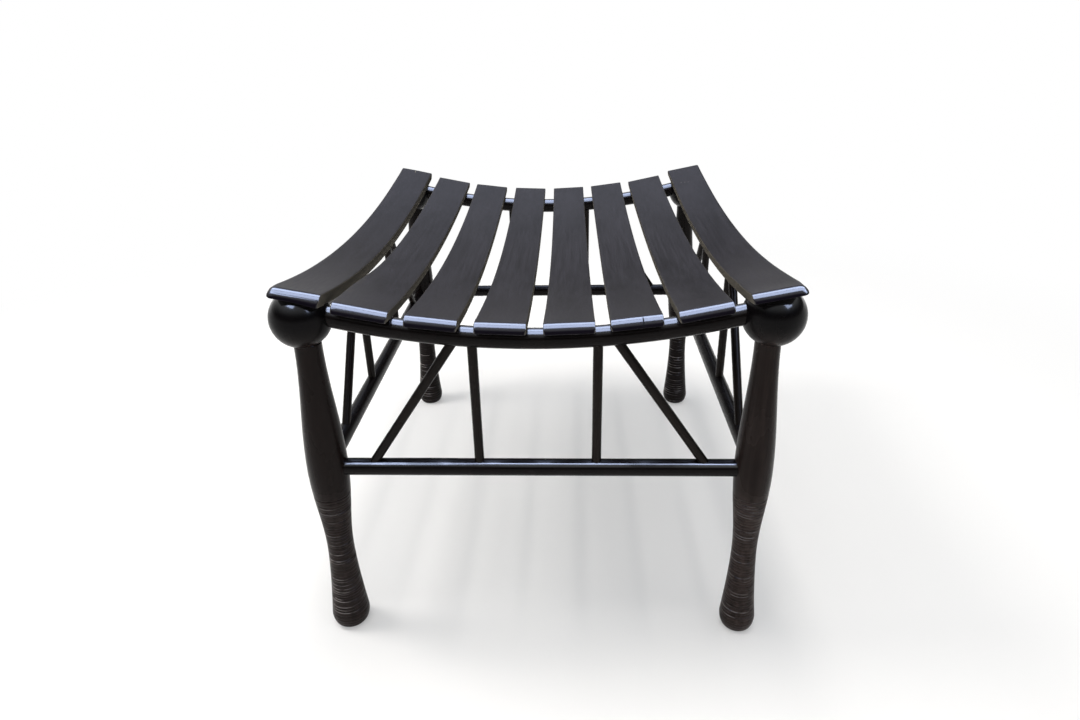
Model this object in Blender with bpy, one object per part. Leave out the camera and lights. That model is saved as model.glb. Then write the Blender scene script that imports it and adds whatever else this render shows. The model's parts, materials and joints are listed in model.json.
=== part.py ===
"""A slatted stool with a dished seat on four turned legs.

Units are metres and +Z is up. The origin is on the floor under the middle of the seat.
The front of the stool faces -Y, and the slats run from front to back.
"""

from math import acos, asin, cos, pi, radians, sin, sqrt, tan

import bmesh
import bpy
from mathutils import Matrix, Vector

# Fit between pieces
JOINT_GAP = 0.0003            # clearance round a piece in its socket, and under a piece on its seat
BAR_END_SPACE = 0.0025        # a bar's end stays this far from the bar that crosses it inside a leg
STRUT_END_SPACE = 0.002       # a strut stops this far from the axis of the bar that it enters
BRACE_SPACE = 0.0035          # clear space between a brace and a post on the rail's axis

# Turned legs
LEG_SPACING_X = 0.360         # between leg axes, side to side
LEG_SPACING_Y = 0.432         # between leg axes, front to back
BALL_HEIGHT = 0.310           # centre of the ball above the floor
BALL_RADIUS = 0.0243
BALL_BED_DEPTH = 0.0088       # how much of the ball's top is cut away under an outer slat
NECK_RADIUS = 0.0103          # where the leg meets its ball
SWELL_RADIUS = 0.0164         # at the stretchers
ANKLE_RADIUS = 0.0111
ANKLE_HEIGHT = 0.090
FOOT_RADIUS = 0.0165          # widest part of the foot
FOOT_HEIGHT = 0.013           # of that widest part above the floor
FOOT_PAD_RADIUS = 0.0105      # flat disc that stands on the floor
FOOT_FLARE = 1.6              # power of the curve from the ankle out to the foot

# Seat rails and stretchers
RAIL_RADIUS = 0.008
RAIL_DIP = 0.025              # of the front and back rails, between the leg axes
RAIL_DROP = 0.0087            # front rail's axis below the beds on the balls, carried on to the leg axis
SIDE_RAIL_SPACE = 0.0015      # clear space between a side rail and the outer slat over it
STRETCHER_RADIUS = 0.007
STRETCHER_HEIGHT = 0.173

# Struts
STRUT_RADIUS = 0.00375
FRONT_POST_OFFSET = 0.049     # from the middle of the front and back
SIDE_POST_OFFSET = 0.060      # from the middle of the left and right sides
FRONT_BRACE_INSET = 0.038     # from a leg's axis to the foot of a brace, on the front and back
SIDE_BRACE_INSET = 0.056      # the same on the left and right sides

# Slats
SLAT_COUNT = 8
SLAT_WIDTH = 0.0393
SLAT_THICKNESS = 0.0085
SLAT_DIP = 0.0185             # of an inner slat between the front and back rails
SLAT_OVERHANG = 0.024         # along the slat, from the rail's axis to its end
SLAT_NOSE_RADIUS = 0.006      # round-over of the top edge at each end
SLAT_TOE_EASE = 0.001         # chamfer of the bottom edge at each end
SLAT_EDGE_EASE = 0.0008       # chamfer along both sides
SADDLE_DEPTH = 0.0008         # the rail lies this deep in the underside of an inner slat
OUTER_SLAT_DIP = 0.0225       # of an outer slat between the front and back balls
OUTER_SLAT_TILT = radians(11)
OUTER_SLAT_INSET = 0.004      # centre line of an outer slat, in from the leg's axis
OUTER_GAP_TRIM = 0.0028       # how much narrower the gap beside an outer slat is than the inner gaps

# Pegs that hold the slats
PEG_RADIUS = 0.0025
PEG_IN_SLAT = 0.005
PEG_IN_FRAME = 0.007          # into a rail, or into a ball

# Fineness of the curved faces
LEG_SIDES = 20
LEG_STEPS = 13                # rows from the foot up to the neck
FOOT_STEPS = 4
BALL_STEPS = 9
BALL_TOP = radians(80)        # latitude where the turning of the ball ends, inside the slat's bed
RAIL_SIDES = 12
RAIL_STEPS = 12
STRUT_SIDES = 10
PEG_SIDES = 8
SLAT_STEPS = 12
NOSE_STEPS = 4
SMOOTH_ANGLE = radians(35)    # faces that meet at less than this are shaded as one
CORNER_ANGLE = radians(60)    # edges sharper than this are chamfered on a slat

# Finishes: base colour, roughness
LEG_FINISH = ((0.012, 0.008, 0.007), 0.32)
BAR_FINISH = ((0.010, 0.009, 0.010), 0.30)
STRUT_FINISH = ((0.012, 0.009, 0.008), 0.34)
SLAT_FINISH = ((0.024, 0.023, 0.026), 0.38)
PEG_FINISH = ((0.36, 0.24, 0.14), 0.60)


def arc_radius(chord, dip):
    """Radius of an arc that dips by a given amount at the middle of its chord."""
    return (chord ** 2 / 4 + dip ** 2) / (2 * dip)


class Arc:
    """An arc in an upright plane, lowest at its middle."""

    def __init__(self, radius, low):
        self.radius = radius
        self.low = low

    def height(self, along):
        """Height of the arc at a distance from its middle."""
        return self.low + self.radius - sqrt(self.radius ** 2 - along ** 2)


# Worked out from the sizes above
NECK_HEIGHT = BALL_HEIGHT - sqrt(BALL_RADIUS ** 2 - NECK_RADIUS ** 2)
BED_HEIGHT = BALL_HEIGHT + BALL_RADIUS - BALL_BED_DEPTH
BRACE_STEP = 2 * STRUT_RADIUS + BRACE_SPACE


class Bend:
    """The curve of a slat's underside, by its dip between the front and back legs."""

    def __init__(self, dip):
        self.dip = dip
        self.radius = arc_radius(LEG_SPACING_Y, dip)
        self.half_length = self.radius * asin(LEG_SPACING_Y / 2 / self.radius) + SLAT_OVERHANG

    def point(self, across, along, height):
        """A point of the bent slat, whose underside has its low point on the origin."""
        angle = along / self.radius
        reach = self.radius - height
        return (across, reach * sin(angle), self.radius - reach * cos(angle))


INNER_BEND = Bend(SLAT_DIP)
OUTER_BEND = Bend(OUTER_SLAT_DIP)

# The front and back rails hang between the balls. The side rails run just under the outer slats,
# whose tilt stretches an upright cut through their curve.
FRONT_RAIL = Arc(arc_radius(LEG_SPACING_X, RAIL_DIP), BED_HEIGHT - RAIL_DROP - RAIL_DIP)
RAIL_TOP_RADIUS = FRONT_RAIL.radius - RAIL_RADIUS
TILTED_DIP = OUTER_SLAT_DIP / cos(OUTER_SLAT_TILT)
SIDE_RAIL_DROP = (RAIL_RADIUS + SIDE_RAIL_SPACE) / cos(OUTER_SLAT_TILT)
SIDE_RAIL = Arc(arc_radius(LEG_SPACING_Y, TILTED_DIP) + SIDE_RAIL_DROP,
                BED_HEIGHT - TILTED_DIP - SIDE_RAIL_DROP)


class Side:
    """One side of the stool: a stretcher, a seat rail over it, and the struts between them.

    Its own frame has X along the side, from the first of its two ends to the second.
    """

    def __init__(self, name, ends, turn, offset, span, rail, post_offset, brace_inset):
        self.name = name
        self.ends = ends
        self.frame = Matrix.Rotation(turn, 4, "Z") @ Matrix.Translation((0, offset, 0))
        self.half_span = span / 2
        self.rail = rail
        self.post_offset = post_offset
        self.brace_inset = brace_inset

    def point(self, along, height):
        """A point on this side's upright plane, in the stool's frame."""
        return self.frame @ Vector((along, 0, height))

    def bar_reach(self, radius):
        """How far a bar of this radius runs from the middle of the side to its end inside a leg."""
        return self.half_span - radius - BAR_END_SPACE


SIDES = (
    Side("front", ("left", "right"), 0, -LEG_SPACING_Y / 2, LEG_SPACING_X, FRONT_RAIL,
         FRONT_POST_OFFSET, FRONT_BRACE_INSET),
    Side("back", ("left", "right"), 0, LEG_SPACING_Y / 2, LEG_SPACING_X, FRONT_RAIL,
         FRONT_POST_OFFSET, FRONT_BRACE_INSET),
    Side("left", ("front", "back"), pi / 2, LEG_SPACING_X / 2, LEG_SPACING_Y, SIDE_RAIL,
         SIDE_POST_OFFSET, SIDE_BRACE_INSET),
    Side("right", ("front", "back"), pi / 2, -LEG_SPACING_X / 2, LEG_SPACING_Y, SIDE_RAIL,
         SIDE_POST_OFFSET, SIDE_BRACE_INSET),
)


def spread(start, end, steps):
    """Evenly spaced numbers from start to end, both included."""
    return [start + (end - start) * step / steps for step in range(steps + 1)]


def ease(start, end, share):
    """A smooth change from start to end, level at both."""
    return start + (end - start) * (1 - cos(pi * share)) / 2


def closed_mesh(bm, name):
    """Close the open ends, face everything outwards and hand over a smooth-shaded mesh."""
    rims = [edge for edge in bm.edges if edge.is_boundary]
    bmesh.ops.holes_fill(bm, edges=rims, sides=0)
    bmesh.ops.recalc_face_normals(bm, faces=bm.faces)
    mesh = bpy.data.meshes.new(name)
    bm.to_mesh(mesh)
    bm.free()
    mesh.shade_smooth()
    mesh.set_sharp_from_angle(angle=SMOOTH_ANGLE)
    return mesh


def new_finish(name, look):
    """A lacquer or bare wood with one colour and roughness."""
    colour, roughness = look
    material = bpy.data.materials.new(name)
    material.use_nodes = True
    shader = material.node_tree.nodes["Principled BSDF"]
    shader.inputs["Base Color"].default_value = (*colour, 1)
    shader.inputs["Roughness"].default_value = roughness
    shader.inputs["Metallic"].default_value = 0
    return material


def add_piece(name, mesh, placement, look):
    """Put one piece of the stool in its place."""
    mesh.materials.append(new_finish(name + "_finish", look))
    piece = bpy.data.objects.new(name, mesh)
    piece.matrix_basis = placement
    piece.parent = stool
    bpy.context.scene.collection.objects.link(piece)
    return piece


def add_cutter(group, mesh, placement):
    """Put a shape in its place that only hollows out other pieces."""
    cutter = bpy.data.objects.new(mesh.name, mesh)
    cutter.matrix_basis = placement
    cutter.hide_render = True
    cutter.display_type = "WIRE"
    group.objects.link(cutter)


def new_group(name):
    """A collection of cutters."""
    group = bpy.data.collections.new(name)
    bpy.context.scene.collection.children.link(group)
    return group


def hollow(piece, *groups):
    """Cut every shape of the given groups out of a piece."""
    for group in groups:
        cut = piece.modifiers.new(group.name, "BOOLEAN")
        cut.operation = "DIFFERENCE"
        cut.solver = "EXACT"
        cut.operand_type = "COLLECTION"
        cut.collection = group


def rod_mesh(name, length, radius, sides):
    """A round rod along Z, centred on the origin."""
    bm = bmesh.new()
    bmesh.ops.create_cone(bm, cap_ends=True, segments=sides, radius1=radius, radius2=radius, depth=length)
    return closed_mesh(bm, name)


def rod_placement(start, end):
    """Turn and move a rod along Z so that it runs from start to end."""
    turn = (end - start).to_track_quat("Z", "Y").to_matrix().to_4x4()
    return Matrix.Translation((start + end) / 2) @ turn


def add_rod(name, start, end, radius, sides, look, bores):
    """A rod between two points, and the bore that takes it."""
    length = (end - start).length
    placement = rod_placement(start, end)
    bore = rod_mesh(name + "_bore", length + 2 * JOINT_GAP, radius + JOINT_GAP, sides)
    add_cutter(bores, bore, placement)
    return add_piece(name, rod_mesh(name, length, radius, sides), placement, look)


def leg_radius(height):
    """Radius of the leg between its foot and its ball."""
    if height >= STRETCHER_HEIGHT:
        share = (NECK_HEIGHT - height) / (NECK_HEIGHT - STRETCHER_HEIGHT)
        return ease(NECK_RADIUS, SWELL_RADIUS, share)
    if height >= ANKLE_HEIGHT:
        share = (STRETCHER_HEIGHT - height) / (STRETCHER_HEIGHT - ANKLE_HEIGHT)
        return ease(SWELL_RADIUS, ANKLE_RADIUS, share)
    share = (ANKLE_HEIGHT - height) / (ANKLE_HEIGHT - FOOT_HEIGHT)
    return ANKLE_RADIUS + (FOOT_RADIUS - ANKLE_RADIUS) * share ** FOOT_FLARE


def leg_profile():
    """Radius and height of the turned leg, from the floor to the top of the ball."""
    profile = []
    for turn in spread(0, pi / 2, FOOT_STEPS):
        out = FOOT_PAD_RADIUS + (FOOT_RADIUS - FOOT_PAD_RADIUS) * sin(turn)
        profile.append((out, FOOT_HEIGHT * (1 - cos(turn))))
    for height in spread(FOOT_HEIGHT, NECK_HEIGHT, LEG_STEPS)[1:]:
        profile.append((leg_radius(height), height))
    crease = -acos(NECK_RADIUS / BALL_RADIUS)
    for latitude in spread(crease, BALL_TOP, BALL_STEPS)[1:]:
        profile.append((BALL_RADIUS * cos(latitude), BALL_HEIGHT + BALL_RADIUS * sin(latitude)))
    return profile


def leg_mesh(name):
    """The leg as it comes off the lathe, standing on the origin.

    Its facets start half a step round, so that the tops of the bores don't meet their edges.
    """
    half_step = pi / LEG_SIDES
    bm = bmesh.new()
    row = [bm.verts.new((radius * cos(half_step), radius * sin(half_step), height))
           for radius, height in leg_profile()]
    line = [bm.edges.new(pair) for pair in zip(row, row[1:])]
    bmesh.ops.spin(bm, geom=row + line, cent=(0, 0, 0), axis=(0, 0, 1), angle=2 * pi,
                   steps=LEG_SIDES, use_merge=True)
    return closed_mesh(bm, name)


def rail_mesh(name, arc, reach, radius):
    """A round bar bent to an arc in the XZ plane, with the low point of its axis on the origin."""
    half_angle = asin(reach / arc.radius)
    centre = Vector((0, 0, arc.radius))
    bm = bmesh.new()
    across = Matrix.Rotation(pi / 2, 4, "Y")
    ring = bmesh.ops.create_circle(bm, segments=RAIL_SIDES, radius=radius, matrix=across)["verts"]
    bmesh.ops.rotate(bm, verts=ring, cent=centre, matrix=Matrix.Rotation(half_angle, 3, "Y"))
    bmesh.ops.spin(bm, geom=ring + bm.edges[:], cent=centre, axis=(0, 1, 0), angle=-2 * half_angle,
                   steps=RAIL_STEPS)
    return closed_mesh(bm, name)


def slat_outline(half):
    """Side view of a slat before it is bent: distance from its middle, height over its underside."""
    flat = half - SLAT_NOSE_RADIUS
    shoulder = SLAT_THICKNESS - SLAT_NOSE_RADIUS
    toe = half - SLAT_TOE_EASE
    nose = [(flat + SLAT_NOSE_RADIUS * cos(turn), shoulder + SLAT_NOSE_RADIUS * sin(turn))
            for turn in spread(0, pi / 2, NOSE_STEPS)]
    front_half = [(half, SLAT_TOE_EASE)] + nose
    back_half = [(-along, height) for along, height in reversed(front_half)]
    underside = [(along, 0) for along in spread(-toe, toe, SLAT_STEPS)]
    top = [(along, SLAT_THICKNESS) for along in spread(flat, -flat, SLAT_STEPS)[1:-1]]
    return underside + front_half + top + back_half


def bed_outline(half):
    """Side view of the space over a slat's bed, which runs on past both ends of the slat."""
    toe = half - SLAT_TOE_EASE
    past_end = half + BALL_RADIUS
    floor = [-past_end] + spread(-toe, toe, SLAT_STEPS) + [past_end]
    ceiling = reversed(floor)
    return [(along, -JOINT_GAP) for along in floor] + [(along, BALL_RADIUS) for along in ceiling]


def bent_solid(name, outline, bend, width):
    """Bend a side view to a slat's curve and give it a width along X."""
    bm = bmesh.new()
    rim = [bm.verts.new(bend.point(-width / 2, along, height)) for along, height in outline]
    cheek = bm.faces.new(rim)
    grown = bmesh.ops.extrude_face_region(bm, geom=[cheek])["geom"]
    far_rim = [item for item in grown if isinstance(item, bmesh.types.BMVert)]
    bmesh.ops.translate(bm, verts=far_rim, vec=(width, 0, 0))
    return closed_mesh(bm, name)


def inner_slat_placement(angle):
    """An inner slat square to the front and back rails at an angle round their arc."""
    low_point = RAIL_TOP_RADIUS - JOINT_GAP + SADDLE_DEPTH + SLAT_DIP
    centre = Matrix.Translation((0, 0, FRONT_RAIL.low + FRONT_RAIL.radius))
    return centre @ Matrix.Rotation(-angle, 4, "Y") @ Matrix.Translation((0, 0, -low_point))


def outer_slat_placement(hand):
    """An outer slat on its two balls, tilted up towards the outside; hand is -1 left, 1 right."""
    bed_middle = Vector((hand * (LEG_SPACING_X / 2 - OUTER_SLAT_INSET), 0,
                         BED_HEIGHT - OUTER_SLAT_INSET * tan(OUTER_SLAT_TILT)))
    tilt = Matrix.Rotation(-hand * OUTER_SLAT_TILT, 4, "Y")
    return Matrix.Translation(bed_middle) @ tilt @ Matrix.Translation((0, 0, JOINT_GAP - OUTER_SLAT_DIP))


def slat_placements():
    """Where each slat goes, from left to right: inner ones evenly spaced round the rails' arc."""
    outer_angle = asin((LEG_SPACING_X / 2 - OUTER_SLAT_INSET) / RAIL_TOP_RADIUS)
    pitch = 2 * (outer_angle + OUTER_GAP_TRIM / RAIL_TOP_RADIUS) / (SLAT_COUNT - 1)
    half_fan = pitch * (SLAT_COUNT - 3) / 2
    inner = [inner_slat_placement(angle) for angle in spread(-half_fan, half_fan, SLAT_COUNT - 3)]
    return [outer_slat_placement(-1)] + inner + [outer_slat_placement(1)]


def make_legs():
    """Four legs, hollowed for the bars that enter them, the outer slats and their pegs."""
    for depth, row in ((-1, "front"), (1, "back")):
        for hand, column in ((-1, "left"), (1, "right")):
            name = f"leg_{row}_{column}"
            foot = Vector((hand * LEG_SPACING_X / 2, depth * LEG_SPACING_Y / 2, 0))
            leg = add_piece(name, leg_mesh(name), Matrix.Translation(foot), LEG_FINISH)
            hollow(leg, rail_bores, stretcher_bores, slat_beds, peg_bores)


def make_rails():
    """Four seat rails, bored for the struts under them and the pegs over them."""
    for side in SIDES:
        name = f"seat_rail_{side.name}"
        placement = side.frame @ Matrix.Translation((0, 0, side.rail.low))
        reach = side.bar_reach(RAIL_RADIUS)
        bore = rail_mesh(name + "_bore", side.rail, reach + JOINT_GAP, RAIL_RADIUS + JOINT_GAP)
        add_cutter(rail_bores, bore, placement)
        rail = add_piece(name, rail_mesh(name, side.rail, reach, RAIL_RADIUS), placement, BAR_FINISH)
        hollow(rail, strut_bores, peg_bores)


def make_stretchers():
    """Four straight stretchers, bored for the feet of the struts."""
    for side in SIDES:
        reach = side.bar_reach(STRETCHER_RADIUS)
        start = side.point(-reach, STRETCHER_HEIGHT)
        end = side.point(reach, STRETCHER_HEIGHT)
        stretcher = add_rod(f"stretcher_{side.name}", start, end, STRETCHER_RADIUS, RAIL_SIDES,
                            BAR_FINISH, stretcher_bores)
        hollow(stretcher, strut_bores)


def add_strut(name, side, foot, head):
    """A strut from the stretcher to the rail, at two distances along a side."""
    low = side.point(foot, STRETCHER_HEIGHT)
    high = side.point(head, side.rail.height(head))
    stop = (high - low).normalized() * STRUT_END_SPACE
    add_rod(name, low + stop, high - stop, STRUT_RADIUS, STRUT_SIDES, STRUT_FINISH, strut_bores)


def make_struts():
    """Two posts and two braces on each side. A brace leans from near a leg to the head of a post."""
    for side in SIDES:
        for hand, end in zip((-1, 1), side.ends):
            post = hand * side.post_offset
            brace_foot = hand * (side.half_span - side.brace_inset)
            brace_head = post + hand * BRACE_STEP
            add_strut(f"post_{side.name}_{end}", side, post, post)
            add_strut(f"brace_{side.name}_{end}", side, brace_foot, brace_head)


def make_slats():
    """The slats. Inner ones are saddled over the rails, and outer ones lie in beds on the balls."""
    placements = slat_placements()
    for number, placement in enumerate(placements, start=1):
        name = f"slat_{number}"
        outer = number in (1, SLAT_COUNT)
        bend = OUTER_BEND if outer else INNER_BEND
        solid = bent_solid(name, slat_outline(bend.half_length), bend, SLAT_WIDTH)
        slat = add_piece(name, solid, placement, SLAT_FINISH)
        chamfer = slat.modifiers.new("eased_edges", "BEVEL")
        chamfer.width = SLAT_EDGE_EASE
        chamfer.segments = 1
        chamfer.limit_method = "ANGLE"
        chamfer.angle_limit = CORNER_ANGLE
        if outer:
            width = SLAT_WIDTH + 2 * BALL_RADIUS
            bed = bent_solid(name + "_bed", bed_outline(bend.half_length), bend, width)
            add_cutter(slat_beds, bed, placement)
        else:
            hollow(slat, rail_bores)
        hollow(slat, peg_bores)
        make_pegs(number, placement, bend.dip)


def make_pegs(number, placement, dip):
    """Two pegs that pin one slat, which dips by a given amount, to the frame under its ends."""
    for depth, row in ((-1, "front"), (1, "back")):
        along = depth * LEG_SPACING_Y / 2
        start = placement @ Vector((0, along, dip - PEG_IN_FRAME))
        end = placement @ Vector((0, along, dip + PEG_IN_SLAT))
        add_rod(f"peg_{row}_{number}", start, end, PEG_RADIUS, PEG_SIDES, PEG_FINISH, peg_bores)


for item in list(bpy.data.objects):
    bpy.data.objects.remove(item)

stool = bpy.data.objects.new("stool", None)
bpy.context.scene.collection.objects.link(stool)
rail_bores = new_group("rail_bores")
stretcher_bores = new_group("stretcher_bores")
strut_bores = new_group("strut_bores")
peg_bores = new_group("peg_bores")
slat_beds = new_group("slat_beds")

make_legs()
make_rails()
make_stretchers()
make_struts()
make_slats()
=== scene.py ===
"""The looks of a black-stained slatted stool: its fine pieces, finishes, studio stage and camera.

The file is laid out as an add-on and is run as a script. Units are metres and +Z is up.
The front of the stool faces -Y, and its slats run from front to back.
"""

import json
from math import acos, asin, atan2, cos, exp, pi, radians, sin, sqrt, tan
from random import Random
from typing import NamedTuple

import bmesh
import bpy
from mathutils import Matrix, Vector, noise


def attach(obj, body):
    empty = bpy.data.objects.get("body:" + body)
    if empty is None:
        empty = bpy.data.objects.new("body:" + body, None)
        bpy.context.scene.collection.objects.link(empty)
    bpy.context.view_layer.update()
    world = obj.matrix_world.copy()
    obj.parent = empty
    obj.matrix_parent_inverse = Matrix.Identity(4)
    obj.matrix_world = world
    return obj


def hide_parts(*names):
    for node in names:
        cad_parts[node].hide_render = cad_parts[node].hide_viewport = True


bl_info = {
    "name": "Slatted stool",
    "version": (1, 0, 0),
    "blender": (4, 5, 0),
    "location": "3D View > Sidebar > Stool",
    "description": "Builds the visible pieces, the finishes and the stage of a slatted stool",
    "category": "Object",
}

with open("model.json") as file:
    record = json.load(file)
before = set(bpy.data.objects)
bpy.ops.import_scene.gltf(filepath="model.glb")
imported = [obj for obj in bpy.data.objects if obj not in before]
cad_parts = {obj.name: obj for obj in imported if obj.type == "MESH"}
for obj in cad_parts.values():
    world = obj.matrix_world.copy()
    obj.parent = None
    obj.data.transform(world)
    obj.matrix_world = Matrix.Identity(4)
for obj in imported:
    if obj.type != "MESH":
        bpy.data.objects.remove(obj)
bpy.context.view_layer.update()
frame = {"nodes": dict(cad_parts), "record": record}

FEET = {mount["name"]: Vector(mount["pos_m"]) for mount in frame["record"]["mounts"]}
SPACING_X = 2 * max(foot.x for foot in FEET.values())
SPACING_Y = 2 * max(foot.y for foot in FEET.values())
SLAT_COUNT = sum(name.startswith("slat_") for name in frame["nodes"])
MM = 0.001
SMOOTH_ANGLE = radians(38)

# Counts of faces round a piece or one of its corners or sides, and of rows along it
LEG_SIDES = 72
BAR_SIDES = 40
FOOT_ROWS = 56
SHANK_ROWS = 60
BALL_ROWS = 44
ROD_ROWS = 48
RAIL_ROWS = 96
NOSE_ROWS = 20
SLAT_ROWS = 90
CORNER_STEPS = 6
TOP_STEPS, BOTTOM_STEPS, SIDE_STEPS = 16, 6, 2
RING_STEP = 0.00020         # between rows where rings are cut

# Rings: ranges of chance as shares of the mean, and the form of a cut in half-widths
RING_DEPTHS = (0.45, 1.25)
RING_WIDTHS = (0.75, 1.30)
RING_GAPS = (0.72, 1.28)
RING_START = 0.002          # the top ring strays this far up or down
RING_SLANT = 0.00035        # a ring rises or falls this much on its way round, at most
RING_FADE = 0.75            # share of its depth that a ring loses on its faintest side, at most
RING_REACH = 4
LIP_PLACE = 1.9
LIP_HEIGHT = 0.12           # as a share of the depth
RING_NEAR = 0.003           # rings further from a row than this don't touch it
RINGED_ABOVE = 0.004        # close rows go on this far over the top ring
BALL_TOP = radians(82)      # rows of the ball end at this latitude, over its bed

# Where the seeds for rings, slats and struts start
RING_SEED, SLAT_SEED, STRUT_SEED = 11, 40, 10

# Unevenness: steps of noise round a bar and per metre, and how far apart two pieces are in it
BAR_NOISE_ROUND, BAR_NOISE_ALONG = 0.9, 28
BARS_APART = (7.3, 3.7, 5.1)
SLAT_NOISE = (55, 22, 90)
SLATS_APART = (3.3, 7.9, 1.7)

# Handwork on the slats
BULGE_PLACE, BULGE_SPREAD = 0.068, 0.066        # from the front end
THICK_FROM, THICK_OVER = 0.05, 0.07             # a thick edge grows from here and over this length
THICK_FRONT = 0.5                               # share of its thickness at the front
NOSE_CHANCE = (0.94, 1.03)                      # range of the nose radius, as shares of it
TIP_TOP_MOST, TIP_UNDER_MOST = 1.4, 0.5         # of half a slat's thickness, for the round-over of a tip
PAST_NOSE = (0.0004, 0.0012, 0.0030)            # close rows behind the edge of a nose


class Hand(NamedTuple):
    """How a slat was cut and set by hand, in millimetres. Pairs are for its front and its back end."""

    shift: tuple                # how far its ends lie to the right of the true place
    trim: tuple                 # how much shorter than the longest slat it is
    wider: float                # how much wider than the usual slat it is
    planed: tuple = (0, 0)      # how much its top is planed down at its ends
    thicker: float = 0          # how much thicker it is along its right edge, less so at the front
    bulge: float = 0            # how far its left edge bulges, not far from the front


# The slats from left to right
HAND_SET = (
    Hand((-2.2, -0.6), (4.5, 0.3), -0.3, planed=(0.0, 0.7), thicker=3.3),
    Hand((-1.3, 1.3), (5.0, 0.0), 0.9, bulge=4.4),
    Hand((0.0, 0.5), (3.5, 0.0), 0.5),
    Hand((0.8, 1.0), (3.0, 0.0), -0.2),
    Hand((1.1, 0.3), (2.0, 0.0), -0.6),
    Hand((0.0, -1.5), (3.0, 0.2), -0.4),
    Hand((-0.5, -2.8), (2.5, 2.5), 0.8),
    Hand((2.5, 0.4), (0.4, 3.5), 0.0, planed=(1.0, 0.8)),
)
# How much thicker than the usual leg each leg was turned
GIRTH = {"front_left": 1.04, "front_right": 0.957, "back_left": 1.0, "back_right": 1.0}
# How far the colour of a leg's finish has faded, and the finish of each leg
FADES = {"turned_leg_lacquer": 1.0, "turned_leg_lacquer_faded": 1.45, "turned_leg_lacquer_dark": 0.6}
LEG_FINISHES = {"front_left": "turned_leg_lacquer", "front_right": "turned_leg_lacquer_faded",
                "back_left": "turned_leg_lacquer_dark", "back_right": "turned_leg_lacquer_dark"}
# Marks on the slats, as places across and along a slat, and their radii
CHIP_PLACE, CHIP_RADIUS = (-0.001, 0.2315), 0.0012
SPECK_RADIUS = 0.0011
SPECKS_ACROSS = (-0.0095, -0.0055, -0.0015)
SPECK_ALONG, SPECK_SLANT = 0.1885, 0.4          # the first one's place, and the slope of their row
FILLER_SHADE = 4.5                              # against the stain
SPLIT_SLAT, SPLIT_PLACE = 6, 0.0045


def length(default, name, description):
    """A length that a user may change."""
    return bpy.props.FloatProperty(name=name, description=description, default=default, min=0,
                                   unit="LENGTH", precision=5)


def colour(default, name, description):
    """A colour that a user may change."""
    return bpy.props.FloatVectorProperty(name=name, description=description, default=default, min=0,
                                         max=1, subtype="COLOR")


def share(default, name, description):
    """A number from 0 to 1 that a user may change."""
    return bpy.props.FloatProperty(name=name, description=description, default=default, min=0, max=1,
                                   subtype="FACTOR")


def degrees(default, name, description):
    """An angle that a user may change, with its default in degrees."""
    return bpy.props.FloatProperty(name=name, description=description, default=radians(default),
                                   subtype="ANGLE")


def index(default, name, description):
    """A refractive index that a user may change."""
    return bpy.props.FloatProperty(name=name, description=description, default=default, min=1, max=2)


def brightness(default, name, description, unit="NONE"):
    """The strength of a light that a user may change."""
    return bpy.props.FloatProperty(name=name, description=description, default=default, min=0, unit=unit)


class LegSizes(bpy.types.PropertyGroup):
    """Sizes of the turned legs."""

    ball_height: length(0.310, "Ball height", "Centre of the ball above the floor")
    ball_radius: length(0.0239, "Ball radius", "Radius of the ball")
    bed_depth: length(0.0084, "Bed depth", "How much of the ball's top is cut away under an outer slat")
    neck_radius: length(0.0103, "Neck radius", "Radius where the leg meets its ball")
    swell_radius: length(0.0164, "Swell radius", "Radius at the stretchers")
    ankle_radius: length(0.0111, "Ankle radius", "Radius at the narrowest place over the foot")
    ankle_height: length(0.090, "Ankle height", "Height of the narrowest place")
    foot_radius: length(0.0165, "Foot radius", "Radius of the widest part of the foot")
    foot_height: length(0.013, "Foot height", "Height of the widest part of the foot")
    pad_radius: length(0.0105, "Pad radius", "Radius of the flat disc on the floor")
    ring_top: length(0.147, "Top ring", "Height of the highest ring")
    ring_bottom: length(0.0042, "Bottom ring", "Rings end above this height")
    ring_spacing: length(0.0033, "Ring spacing", "Mean distance between rings")
    ring_depth: length(0.00058, "Ring depth", "Mean depth of a ring")
    ring_width: length(0.00040, "Ring width", "Mean half-width of a ring")
    splay_from: length(0.125, "Splay from", "Height at which a splayed leg is on its true axis")
    splay: degrees(0.66, "Splay", "How far the legs lean outwards below their balls")
    foot_flare: bpy.props.FloatProperty(name="Foot flare", default=1.6, min=0.5, max=4,
                                        description="Power of the curve from the ankle to the foot")


class BarSizes(bpy.types.PropertyGroup):
    """Sizes of the seat rails and the stretchers."""

    rail_radius: length(0.008, "Rail radius", "Radius of a seat rail")
    rail_swell: length(0.0004, "Rail swell", "How much thicker the front and back rails are")
    rail_settle: length(0.0003, "Rail settle", "How far the front and back rails lie under their true place")
    rail_dip: length(0.025, "Rail dip", "Dip of the front and back rails between the leg axes")
    rail_drop: length(0.0087, "Rail drop", "Front rail's axis below the beds on the balls, at the leg axis")
    side_rail_space: length(0.0015, "Side rail space", "Clear space between a side rail and its slat")
    stretcher_radius: length(0.0074, "Stretcher radius", "Radius of a stretcher")
    stretcher_height: length(0.173, "Stretcher height", "Axis of the stretchers above the floor")
    end_space: length(0.0025, "End space", "A bar's end stays this far from the bar that crosses it")
    unevenness: length(0.00006, "Unevenness", "How far a shaved bar strays from a true round")


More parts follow.
